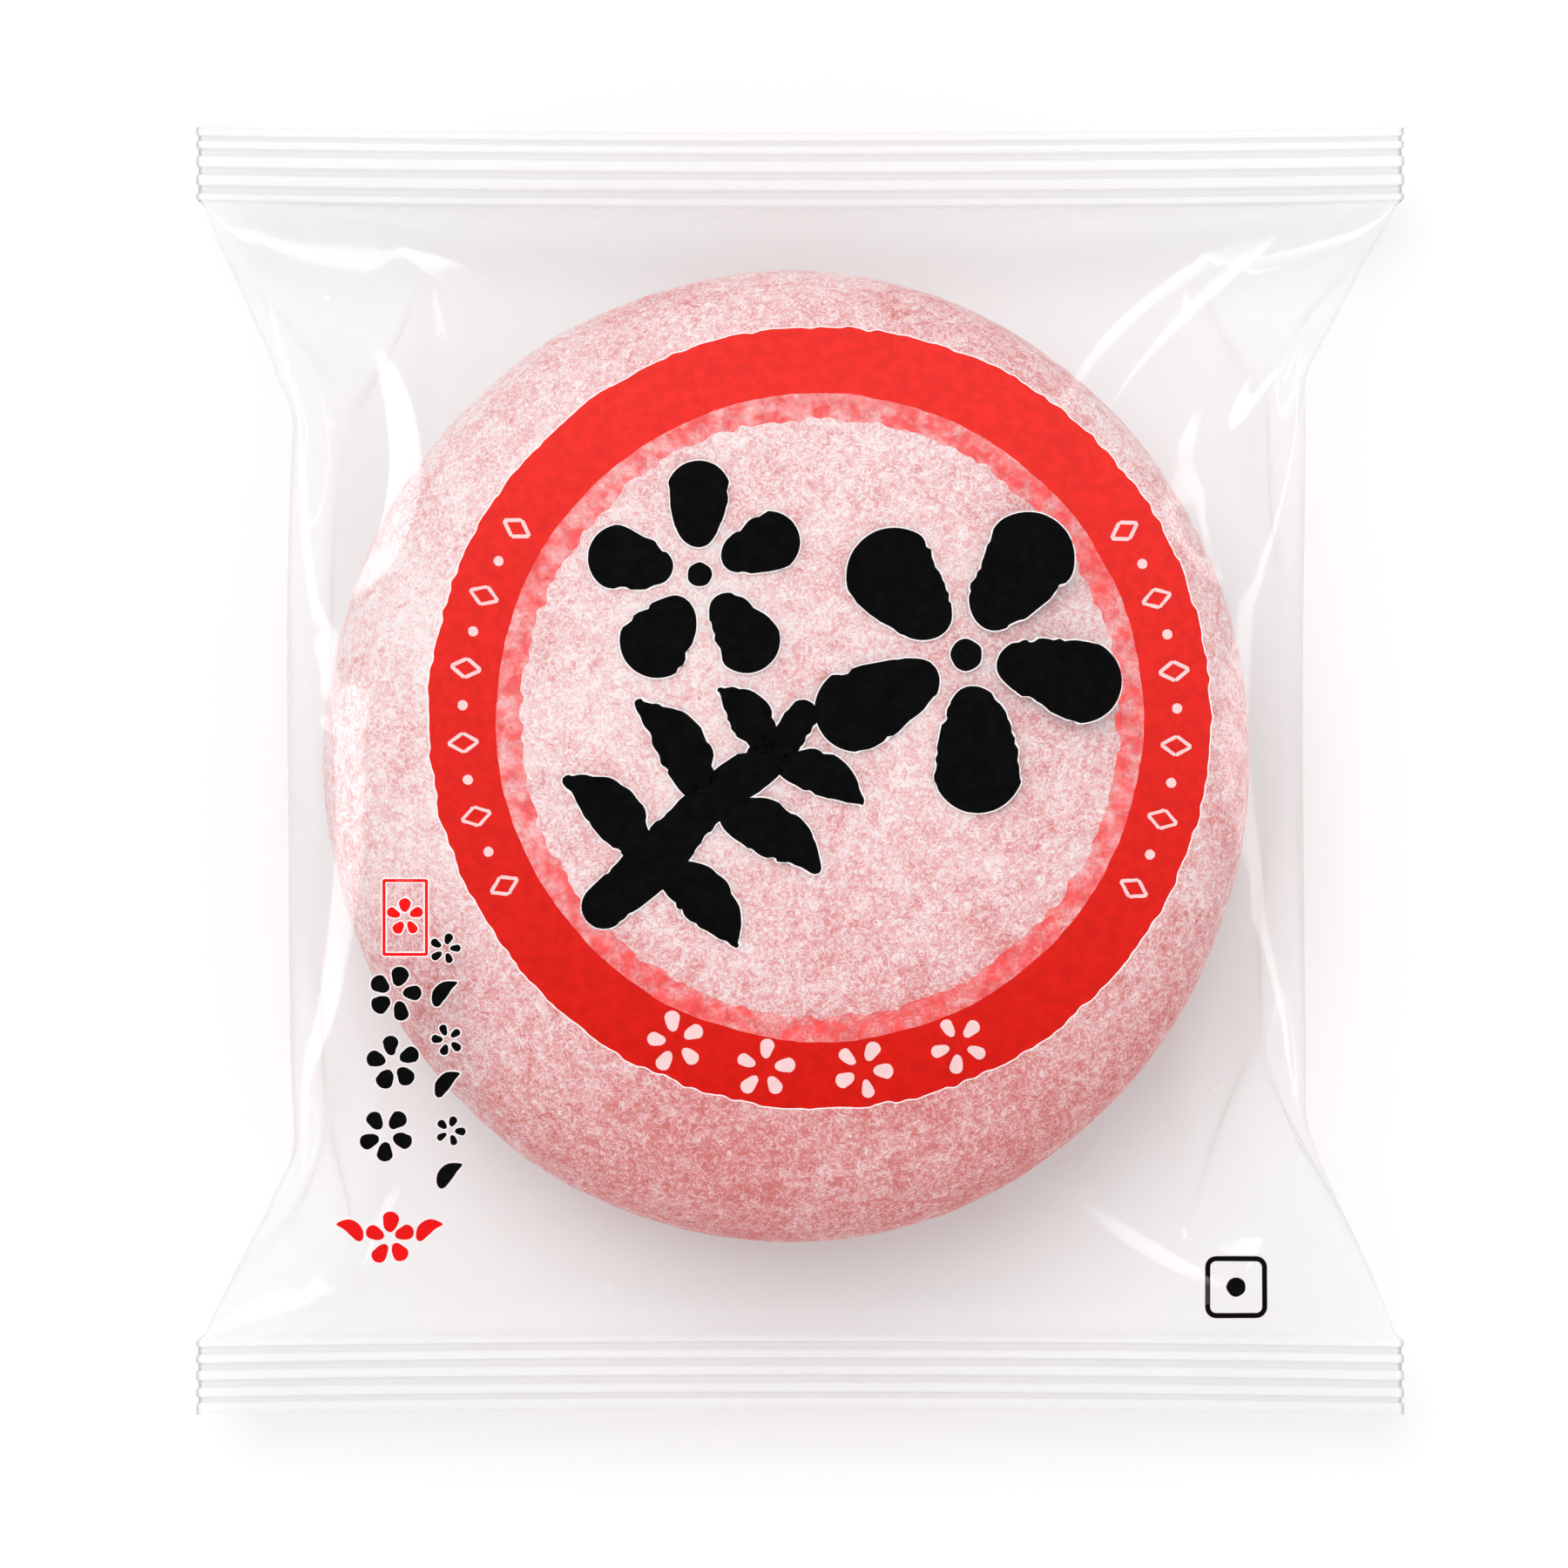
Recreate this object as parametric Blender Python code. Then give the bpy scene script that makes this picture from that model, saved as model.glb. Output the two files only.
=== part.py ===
"""A round sweet sealed in a clear pillow pack, lying on its back: one closed solid out to the film.

The tube of film is pressed flat at both ends into crimped seals, and the sweet fills its middle.
x runs across the pack, y along it, z up from what it lies on. Lengths are in millimetres until
to_metres() turns them into the scene's metres.
"""
import math

import bmesh
import bpy

METRES_PER_MM = 0.001

# Film tube and seals
SEAL_HALF = 50.0            # half the width of the flattened tube
SEAL_INNER = 47.2           # from the middle of the pack to a seal's inner edge, at the corners
SEAL_DEPTH = 6.1            # length of a crimped seal along the pack
SEAL_BOW = 0.6              # how far the middle of a seal is drawn inwards
SEAL_HEIGHT = 11.0          # height of a seal's middle
SEAL_DROOP = 1.5            # how much lower the seal's ends hang
SEAL_THICKNESS = 0.8
RIDGES = 5                  # crimp ridges on each seal
RIDGE_HEIGHT = 0.35         # from the seal's mid plane to a ridge's crest
RIDGE_JUT = 0.15            # how far the ridges stand out at the seal's ends

# Filled middle
CREST = 28.8                # height of the film over the sweet
TOP_REACH = {1: 3.8, -1: 3.1}   # how far the height is held towards each end (1 far, -1 near); more is farther
MID_HALF = 41.9             # half the width at the middle
PINCH_HALF = 41.3           # half the width where the sides are nipped in
SIDE_HEIGHT = 16.5          # height of the widest line of the sides, at the middle
SIDE_LIFT = 3.5             # how much higher that line runs where the sides are nipped in
SIDE_LIFT_AT = 27.0
SIDE_LIFT_REACH = 8.0
REST_HALF = 37.5            # half the length that lies on the surface
REST_SINK = 0.6             # how much of the back is pressed flat

# Distance of each nipped place from the middle, by side (-1 left, 1 right) and end (-1 near, 1 far)
PINCH = {(-1, 1): 28.6, (1, 1): 32.0, (-1, -1): 30.8, (1, -1): 28.4}

# Fullness of the outline of a cross section: 2 is an ellipse, more is squarer
TOP_FULLNESS = 3.0
SHOULDER_FULLNESS = 1.95    # where the film runs from the sweet to the corners
SHOULDER_AT = 31.0
SHOULDER_REACH = 9.0
END_FULLNESS = 5.0          # close to the seals
BACK_FULLNESS = 3.6
SEAL_FULLNESS = 12.0

# Creases that run from the corners over the shoulders: points in plan, and height of the fold
CREASE_WIDTH = 3.6
CREASES = {
    "far_left": (((-49.0, 46.6), (-38.6, 35.4), (-38.2, 12.0)), 1.3),
    "far_right": (((49.0, 46.6), (40.2, 34.8), (31.2, 21.4)), 1.2),
    "near_left": (((-48.6, -46.8), (-42.0, -36.6), (-33.5, -41.5)), 0.9),
    "near_right": (((49.0, -46.4), (41.6, -30.5), (37.4, -21.4)), 1.2),
}

# Mesh
AROUND = 72                 # points round a cross section
BODY_ROWS = 36              # steps along the filled middle
STEPS_A_RIDGE = 2           # steps from one ridge's valley to the next
END_CROWDING = 0.8          # how strongly the rows crowd towards the seals, 0 to 1

FILM_COLOUR = (0.86, 0.78, 0.79, 1.0)
FILM_ROUGHNESS = 0.25


def clear_scene():
    for thing in list(bpy.data.objects):
        bpy.data.objects.remove(thing, do_unlink=True)


def blend(start, end, share):
    return start + (end - start) * share


def end_share(station):
    """0 at the middle of the pack, 1 at a seal's inner edge."""
    return min(abs(station) / SEAL_INNER, 1.0)


def half_width(station, side):
    """Half the width on one side: nearly straight from the corner to the pinch, then a slight swell."""
    end = 1 if station >= 0 else -1
    pinch = PINCH[(side, end)]
    reach = abs(station)
    if reach <= pinch:
        return blend(MID_HALF, PINCH_HALF, (reach / pinch) ** 2)
    return blend(PINCH_HALF, SEAL_HALF, min((reach - pinch) / (SEAL_INNER - pinch), 1.0) ** 1.05)


def top_height(station):
    seal_top = SEAL_HEIGHT + SEAL_THICKNESS / 2
    reach = TOP_REACH[1 if station >= 0 else -1]
    return blend(seal_top, CREST, (1.0 - end_share(station) ** reach) ** 0.9)


def back_height(station):
    """Below zero where the back is pressed flat, then rising to the seal."""
    rise = min(max(abs(station) - REST_HALF, 0.0) / (SEAL_INNER - REST_HALF), 1.0) ** 1.8
    return blend(-REST_SINK, SEAL_HEIGHT - SEAL_THICKNESS / 2, rise)


def side_height(station):
    lift = SIDE_LIFT * math.exp(-((abs(station) - SIDE_LIFT_AT) / SIDE_LIFT_REACH) ** 2)
    return blend(SIDE_HEIGHT + lift, SEAL_HEIGHT, end_share(station) ** 6)


def top_fullness(station):
    shoulder = math.exp(-((abs(station) - SHOULDER_AT) / SHOULDER_REACH) ** 2)
    middle = blend(TOP_FULLNESS, SHOULDER_FULLNESS, shoulder)
    return blend(middle, END_FULLNESS, end_share(station) ** 12)


def point_on_superellipse(turn, fullness):
    """A unit superellipse's point: across and up, both from -1 to 1."""
    power = 2.0 / fullness
    across = math.copysign(abs(math.cos(turn)) ** power, math.cos(turn))
    up = math.copysign(abs(math.sin(turn)) ** power, math.sin(turn))
    return across, up


def distance_to_segment(x, y, start, end):
    """Distance in plan, and the share of the segment that has been passed."""
    run = (end[0] - start[0], end[1] - start[1])
    passed = ((x - start[0]) * run[0] + (y - start[1]) * run[1]) / (run[0] ** 2 + run[1] ** 2)
    passed = min(max(passed, 0.0), 1.0)
    return math.hypot(x - start[0] - passed * run[0], y - start[1] - passed * run[1]), passed


def crease_height(x, y):
    """Height that the corner creases add to the top: full at the shoulder, none at either end."""
    highest = 0.0
    for (corner, shoulder, end), height in CREASES.values():
        for start, stop, rises in ((corner, shoulder, True), (shoulder, end, False)):
            distance, passed = distance_to_segment(x, y, start, stop)
            strength = math.sin(passed * math.pi / 2) if rises else 1.0 - passed
            highest = max(highest, height * strength * max(1.0 - distance / CREASE_WIDTH, 0.0))
    return highest


def body_section(station):
    """The points round the filled middle at one station along the pack."""
    points = []
    near_seal = end_share(station) ** 6
    for k in range(AROUND):
        turn = 2 * math.pi * k / AROUND
        is_top = k <= AROUND // 2
        fullness = top_fullness(station) if is_top else blend(BACK_FULLNESS, SEAL_FULLNESS, near_seal)
        across, up = point_on_superellipse(turn, fullness)
        x = across * half_width(station, 1 if across >= 0 else -1)
        side = side_height(station)
        reach = top_height(station) - side if is_top else side - back_height(station)
        z = max(side + up * reach - SEAL_DROOP * across ** 2 * near_seal, 0.0)
        y = station - math.copysign(SEAL_BOW * (1 - across ** 2) * near_seal, station)
        if is_top:
            z += crease_height(x, y) * (1 - near_seal)
        points.append((x, y, z))
    return points


def seal_section(depth, end):
    """The points round a seal, depth millimetres out from its inner edge."""
    points = []
    wave = math.cos(2 * math.pi * RIDGES * depth / SEAL_DEPTH)
    for k in range(AROUND):
        across, up = point_on_superellipse(2 * math.pi * k / AROUND, SEAL_FULLNESS)
        x = across * (SEAL_HALF - RIDGE_JUT * (1 - wave) / 2)
        y = end * (SEAL_INNER + depth - SEAL_BOW * (1 - across ** 2))
        middle = SEAL_HEIGHT - SEAL_DROOP * across ** 2 - RIDGE_HEIGHT * wave
        points.append((x, y, middle + up * SEAL_THICKNESS / 2))
    return points


def all_sections():
    """Every cross section, from the near seal's outer edge to the far seal's."""
    steps = RIDGES * STEPS_A_RIDGE
    depths = [SEAL_DEPTH * step / steps for step in range(steps + 1)]
    crowding = END_CROWDING * math.pi / 2
    sections = [seal_section(depth, -1) for depth in reversed(depths)]
    for row in range(1, BODY_ROWS):
        share = 2 * row / BODY_ROWS - 1
        sections.append(body_section(SEAL_INNER * math.sin(share * crowding) / math.sin(crowding)))
    sections.extend(seal_section(depth, 1) for depth in depths)
    return sections


def to_metres(point):
    return tuple(value * METRES_PER_MM for value in point)


def close_end(bm, ring):
    """Closes an end with faces between the ring's top and back halves."""
    half = AROUND // 2
    for k in range(half):
        corners = [ring[k], ring[k + 1], ring[(AROUND - k - 1) % AROUND], ring[(AROUND - k) % AROUND]]
        bm.faces.new(list(dict.fromkeys(corners)))


def build_pack():
    bm = bmesh.new()
    rings = [[bm.verts.new(to_metres(point)) for point in section] for section in all_sections()]
    for near, far in zip(rings, rings[1:]):
        for k in range(AROUND):
            after = (k + 1) % AROUND
            bm.faces.new((near[k], near[after], far[after], far[k]))
    close_end(bm, rings[0])
    close_end(bm, rings[-1])
    bmesh.ops.triangulate(bm, faces=bm.faces[:])
    bmesh.ops.recalc_face_normals(bm, faces=bm.faces[:])
    mesh = bpy.data.meshes.new("pack")
    bm.to_mesh(mesh)
    bm.free()
    mesh.shade_smooth()
    pack = bpy.data.objects.new("pack", mesh)
    bpy.context.scene.collection.objects.link(pack)
    return pack


def film_material():
    material = bpy.data.materials.new("film")
    material.use_nodes = True
    shader = material.node_tree.nodes["Principled BSDF"]
    shader.inputs["Base Color"].default_value = FILM_COLOUR
    shader.inputs["Roughness"].default_value = FILM_ROUGHNESS
    shader.inputs["Metallic"].default_value = 0.0
    return material


clear_scene()
build_pack().data.materials.append(film_material())
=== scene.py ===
"""Looks of a round, starch-dusted rice cake sealed in a clear, printed pillow pack.

The film is a tube that is relaxed round the sweet, with a crimped seal at each end. The print lies on it.
Shapes are worked out in millimetres in the frame's own axes, and become metres when their meshes are made.
"""
import math

import bpy
import numpy as np
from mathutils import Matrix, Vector
from mathutils.bvhtree import BVHTree


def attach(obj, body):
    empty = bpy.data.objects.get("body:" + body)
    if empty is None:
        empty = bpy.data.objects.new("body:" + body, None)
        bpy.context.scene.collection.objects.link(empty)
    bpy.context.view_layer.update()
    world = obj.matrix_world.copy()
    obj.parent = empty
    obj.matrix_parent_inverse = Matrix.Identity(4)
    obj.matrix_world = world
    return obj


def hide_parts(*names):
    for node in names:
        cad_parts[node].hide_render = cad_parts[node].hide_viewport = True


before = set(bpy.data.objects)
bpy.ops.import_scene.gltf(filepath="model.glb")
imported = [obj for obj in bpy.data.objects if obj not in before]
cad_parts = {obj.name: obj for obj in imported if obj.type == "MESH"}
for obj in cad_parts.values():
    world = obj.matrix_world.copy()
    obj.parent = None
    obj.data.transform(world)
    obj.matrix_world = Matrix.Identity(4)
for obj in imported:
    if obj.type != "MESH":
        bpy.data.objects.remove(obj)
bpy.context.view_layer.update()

MM = 0.001

# Picture: the camera looks straight down
PHOTO_SIDE = 1800
MM_PER_PIXEL = 100.0 / 1390.0       # at the height of the seals
VIEW_CENTRE = (-1.33, -1.08)        # what the middle of the picture shows, in millimetres
CAMERA_HEIGHT = 600.0
SENSOR = 36.0

# Film: a tube pressed flat at both ends
FLAT = 100.0                        # width of the flattened tube
TUBE_LENGTH = 105.0                 # from seal to seal along the film, over the middle
SIDE_LENGTH = 102.0                 # the same along the tube's sides, where it is drawn tight
SEAL_INNER = 47.2                   # from the middle of the pack to a seal's inner edge, at the corners
SEAL_DEPTH = 6.1
SEAL_BOW = 0.6
SEAL_HEIGHT = 11.0
SEAL_DROOP = 1.5
SEAL_GAP = 0.12                     # between the two sheets of a seal
MID_HALF = {-1: 41.9, 1: 40.9}      # half widths of the outline, left and right
PINCH_HALF = {-1: 41.1, 1: 41.0}
PINCH = {(-1, 1): 28.6, (1, 1): 32.0, (-1, -1): 30.8, (1, -1): 28.4}

# Grooves of the seals (1 far, -1 near): distance of each from the seal's inner edge, and its width
GROOVES = {
    1: ((0.0, 0.25), (0.99, 0.72), (2.54, 0.68), (4.07, 0.66), (5.22, 0.44)),
    -1: ((0.83, 0.66), (2.17, 0.66), (3.58, 0.66), (4.92, 0.5)),
}
GROOVE_DEPTH = 0.42
GROOVE_EDGE = 0.16                  # width of a groove's slanting side
JAG = 0.15                          # how far the grooves draw in a seal's ends

# Look of the film
FILM_CLEAR = (0.995, 0.998, 0.998, 1)
FILM_ROUGHNESS = 0.11
FILM_GLOSS = 0.035                  # share of light that is reflected, seen straight on
SLANT_POWER = 4.0                   # how closely what follows keeps to film seen at a slant
SLANT_GLOSS = 0.35                  # added reflection
SLANT_HAZE = 0.30                   # added haze

# Haze of the film: colour, and as fourth value its share, on the body and on the seals' bands and grooves.
# The grey haze in the grooves is painted shade; the white haze on the bands is partly real haze and partly a
# painted highlight.
HAZE_BODY = (0.98, 0.97, 0.97, 0.022)
BAND_HAZE_AND_HIGHLIGHT = (1.0, 1.0, 1.0, 0.16)
GROOVE_HAZE_AND_SHADE = (0.76, 0.74, 0.75, 0.26)
HAZE_START = 0.5                    # how far before a seal's inner edge the ramp of its haze starts
HAZE_LENGTH = 7.0
HAZE_BLUR = 0.05                    # half the width of the change from one to the next

# Ridges from the corners over the shoulders: x, y, z, half the width of the flat top, and the top's slope
# across it (above 0: lower on the right, going away from the corner). The film falls away at RIDGE_SLOPE.
RIDGES = (
    ((-49.4, 46.9, 9.7, 0.3, 0.0), (-44.9, 43.2, 13.3, 1.5, 0.05), (-39.8, 39.2, 17.3, 1.9, 0.1),
     (-38.2, 37.0, 18.7, 1.6, 0.4), (-38.0, 32.0, 19.1, 1.3, 0.6), (-37.9, 24.8, 19.0, 1.3, 0.6),
     (-37.8, 9.0, 16.8, 0.6, 0.6)),
    ((49.2, 46.9, 9.7, 0.2, 0.0), (40.4, 34.9, 17.0, 0.5, -0.1), (31.2, 21.2, 24.0, 0.4, -0.1)),
    ((-49.2, -46.9, 9.7, 0.2, 0.0), (-42.0, -37.0, 14.5, 0.4, -0.1), (-37.5, -24.0, 17.5, 0.4, -0.3)),
    ((49.2, -46.9, 9.7, 0.2, 0.0), (41.6, -30.5, 15.5, 0.5, 0.1), (37.4, -21.4, 19.0, 0.4, 0.2)),
)
RIDGE_SLOPE = 1.6
RIDGE_START = -6.0                  # how far off their height the ridges are when the film starts to settle
RIDGE_STEPS = 300.0                 # steps in which they rise to it
DRAWN_FROM = 26.0                   # across the flat tube, where the film starts to be drawn tight

# Crisp folds in the top sheet: points in plan, height, and how far each flank reaches, left and right
FOLDS = (
    (((49.0, 47.3), (40.4, 34.9), (31.0, 21.2)), 0.55, 1.6, 2.6),
    (((42.7, 34.9), (40.4, 27.7), (38.2, 17.6)), 0.35, 1.0, 1.4),
    (((-48.8, -47.5), (-42.3, -37.0), (-37.0, -26.0)), 0.5, 2.4, 1.6),
    (((-48.8, -47.5), (-39.5, -43.0), (-30.0, -43.4)), 0.35, 1.4, 1.4),
    (((49.0, -46.0), (41.8, -29.9), (37.5, -21.2)), 0.6, 1.4, 2.4),
    (((49.3, -46.8), (43.6, -34.0), (40.2, -16.0)), 0.4, 1.0, 1.0),
    (((-34.0, -43.6), (-10.0, -43.9), (14.0, -43.8)), 0.28, 1.3, 1.3),
    (((-30.0, 42.4), (0.0, 42.0), (34.0, 42.3)), 0.22, 1.6, 1.6),
)

# Sweet: a low round cake
SWEET_CENTRE = (-1.1, 1.1)
SWEET_HALF = (38.3, 40.1)
SWEET_BOTTOM = 0.25
SWEET_WAIST = 12.5
SWEET_TOP = 28.4
SWEET_FULLNESS = 2.8                # of its outline from the side: 2 is an ellipse, more is squarer

# Colour of the sweet from dough to thick starch, by a value that adds painted shade and a painted sheen to
# the starch
DOUGH_TO_STARCH = (
    (0.24, (0.64, 0.15, 0.14, 1)),
    (0.40, (0.75, 0.31, 0.31, 1)),
    (0.56, (0.86, 0.54, 0.55, 1)),
    (0.76, (0.93, 0.82, 0.82, 1)),
)

STARCH_LEVEL = -0.35                # raises or lowers the starch everywhere

# What is added to the starch value along the sweet: at y in millimetres, how much. Partly more starch over
# the middle, partly painted shade: the near side (-y) gets far less, so it is darker and pinker as if in
# shade.
STARCH_AND_SHADE_ALONG = ((-40, 0.03), (-31, 0.05), (-22, 0.10), (-10, 0.24), (8, 0.31), (26, 0.29), (40, 0.21))

# Print
RING_CENTRE = (1.62, 4.39)          # this and the radii: as they look at the seals' height
RING_OUTER = 32.3
RING_INNER = 26.75
BAND_INNER = 24.75
MARK_RADIUS = 29.5                  # where the pale marks stand on the ring
RIM = 0.11                          # how far the pale rim shows round a print
RIM_LIFT = 0.03                     # heights above the film
INK_LIFT = 0.06
MARK_LIFT = 0.09

# Light: the sky's shade by height, the far lamps (towards, strength, spread in degrees) and the softboxes
# that show in the film's gloss (place and size in metres, radiance)
SKY = ((0.0, 0.86), (0.15, 1.0), (0.6, 1.0), (1.0, 0.85))
SKY_STRENGTH = 0.73
SUNS = {
    "key": ((-0.2, 0.42, 1.0), 1.25, 38),
    "fill": ((0.45, -0.5, 1.0), 0.28, 60),
}
SOFTBOXES = {
    "left_box": ((-1.0, 0.45, 0.55), (1.5, 0.45), 7.0),
    "right_box": ((0.95, 0.1, 0.95), (1.8, 0.30), 5.0),
}


def grid_faces(rows, columns, closed_rows=False):
    """Quads of a grid whose points are numbered row by row; closed_rows joins the last row to the first."""
    faces = []
    for r in range(rows if closed_rows else rows - 1):
        following = (r + 1) % rows
        for c in range(columns - 1):
            faces.append((r * columns + c, following * columns + c,
                          following * columns + c + 1, r * columns + c + 1))
    return faces


def make_piece(name, points, faces, material):
    """A smooth mesh piece of the object, from points in millimetres."""
    mesh = bpy.data.meshes.new(name)
    mesh.from_pydata((np.asarray(points, dtype=float) * MM).tolist(), [], faces)
    mesh.validate()
    mesh.shade_smooth()
    mesh.materials.append(material)
    piece = bpy.data.objects.new(name, mesh)
    bpy.context.scene.collection.objects.link(piece)
    return piece


def lattice_noise(points, size, seed):
    """Smooth noise from -1 to 1 at points (n, 3), with features of about the given size."""
    place = np.asarray(points, dtype=float) / size
    base = np.floor(place).astype(np.int64)
    part = place - base
    part = part * part * (3 - 2 * part)
    total = np.zeros(len(place))
    for corner in range(8):
        offset = np.array([corner & 1, corner >> 1 & 1, corner >> 2 & 1])
        cell = base + offset
        key = cell[:, 0] * 374761393 + cell[:, 1] * 668265263 + cell[:, 2] * 2147483647 + seed * 974634777
        key = (key ^ (key >> 13)) * 1274126177
        key = (key ^ (key >> 16)) & 0xFFFFFF
        share = np.where(offset == 1, part, 1 - part).prod(axis=1)
        total += share * (key / 0x7FFFFF - 1.0)
    return total


def fractal_noise(points, size, octaves, seed):
    total = np.zeros(len(points))
    for octave in range(octaves):
        total += lattice_noise(points, size / 2 ** octave, seed + octave) / 2 ** octave
    return total


# Materials

def new_material(name):
    material = bpy.data.materials.new(name)
    material.use_nodes = True
    material.node_tree.nodes.clear()
    return material, material.node_tree.nodes, material.node_tree.links


def math_node(nodes, links, operation, first, second):
    node = nodes.new("ShaderNodeMath")
    node.operation = operation
    for socket, value in zip(node.inputs, (first, second)):
        if isinstance(value, (int, float)):
            socket.default_value = value
        else:
            links.new(value, socket)
    return node.outputs[0]


def colour_ramp(nodes, stops):
    """A ramp through (position, colour) stops that rise from 0 to 1."""
    node = nodes.new("ShaderNodeValToRGB")
    elements = node.color_ramp.elements
    for number, (position, colour) in enumerate(stops):
        element = elements[number] if number < 2 else elements.new(position)
        element.position = position
        element.color = colour
    return node


def groove_ramp(nodes, end):
    """Colour of a seal's haze, and as alpha its share, outwards from just before the seal's inner edge: grey
    in the grooves as painted shade, white on the bands as haze and painted highlight.
    """
    stops = [(-HAZE_START, HAZE_BODY)]
    first_middle, first_width = GROOVES[end][0]
    if first_middle > first_width:
        stops += [(-0.04, HAZE_BODY), (0.04, BAND_HAZE_AND_HIGHLIGHT)]
    for middle, width in GROOVES[end]:
        inner, outer = middle - width / 2, middle + width / 2
        before = HAZE_BODY if inner < 0 else BAND_HAZE_AND_HIGHLIGHT
        stops += [(inner - HAZE_BLUR, before), (inner + HAZE_BLUR, GROOVE_HAZE_AND_SHADE),
                  (outer - HAZE_BLUR, GROOVE_HAZE_AND_SHADE), (outer + HAZE_BLUR, BAND_HAZE_AND_HIGHLIGHT)]
    return colour_ramp(nodes, [((depth + HAZE_START) / HAZE_LENGTH, colour) for depth, colour in stops])


def film_material():
    """Clear film: lets almost all light through, reflects more at a slant, hazy where it is crimped; the
    seals' grooves are greyer, which is painted shade, and the bands between them whiter, partly real haze and
    partly a painted highlight.
    """
    material, nodes, links = new_material("clear_film")
    output = nodes.new("ShaderNodeOutputMaterial")
    clear = nodes.new("ShaderNodeBsdfTransparent")
    clear.inputs["Color"].default_value = FILM_CLEAR
    gloss = nodes.new("ShaderNodeBsdfGlossy")
    gloss.inputs["Roughness"].default_value = FILM_ROUGHNESS
    haze = nodes.new("ShaderNodeBsdfDiffuse")
    place = nodes.new("ShaderNodeTexCoord")
    split = nodes.new("ShaderNodeSeparateXYZ")
    links.new(place.outputs["Object"], split.inputs[0])
    across = math_node(nodes, links, "DIVIDE", split.outputs["X"], FLAT / 2 * MM)
    across = math_node(nodes, links, "MULTIPLY", across, across)
    bow = math_node(nodes, links, "MULTIPLY", across, SEAL_BOW / HAZE_LENGTH)
    out = math_node(nodes, links, "ABSOLUTE", split.outputs["Y"], 0.0)
    out = math_node(nodes, links, "DIVIDE", out, HAZE_LENGTH * MM)
    out = math_node(nodes, links, "SUBTRACT", out, (SEAL_INNER - SEAL_BOW - HAZE_START) / HAZE_LENGTH)
    out = math_node(nodes, links, "SUBTRACT", out, bow)
    is_far = math_node(nodes, links, "GREATER_THAN", split.outputs["Y"], 0.0)
    colour, share = nodes.new("ShaderNodeMix"), nodes.new("ShaderNodeMix")
    colour.data_type, share.data_type = "RGBA", "FLOAT"
    for number, end in enumerate((-1, 1)):
        ramp = groove_ramp(nodes, end)
        links.new(out, ramp.inputs["Fac"])
        links.new(ramp.outputs["Color"], colour.inputs[6 + number])
        links.new(ramp.outputs["Alpha"], share.inputs[2 + number])
    links.new(is_far, colour.inputs[0])
    links.new(is_far, share.inputs[0])
    links.new(colour.outputs[2], haze.inputs["Color"])
    slant = nodes.new("ShaderNodeLayerWeight")
    slant.inputs["Blend"].default_value = 0.5
    steep = math_node(nodes, links, "POWER", slant.outputs["Facing"], SLANT_POWER)
    milky = math_node(nodes, links, "MULTIPLY_ADD", steep, SLANT_HAZE)
    links.new(share.outputs[0], milky.node.inputs[2])
    veil = nodes.new("ShaderNodeMixShader")
    links.new(milky, veil.inputs["Fac"])
    links.new(clear.outputs[0], veil.inputs[1])
    links.new(haze.outputs[0], veil.inputs[2])
    reflection = math_node(nodes, links, "MULTIPLY_ADD", steep, SLANT_GLOSS)
    reflection.node.inputs[2].default_value = FILM_GLOSS
    mix = nodes.new("ShaderNodeMixShader")
    links.new(reflection, mix.inputs["Fac"])
    links.new(veil.outputs[0], mix.inputs[1])
    links.new(gloss.outputs[0], mix.inputs[2])
    links.new(mix.outputs[0], output.inputs["Surface"])
    return material


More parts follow.
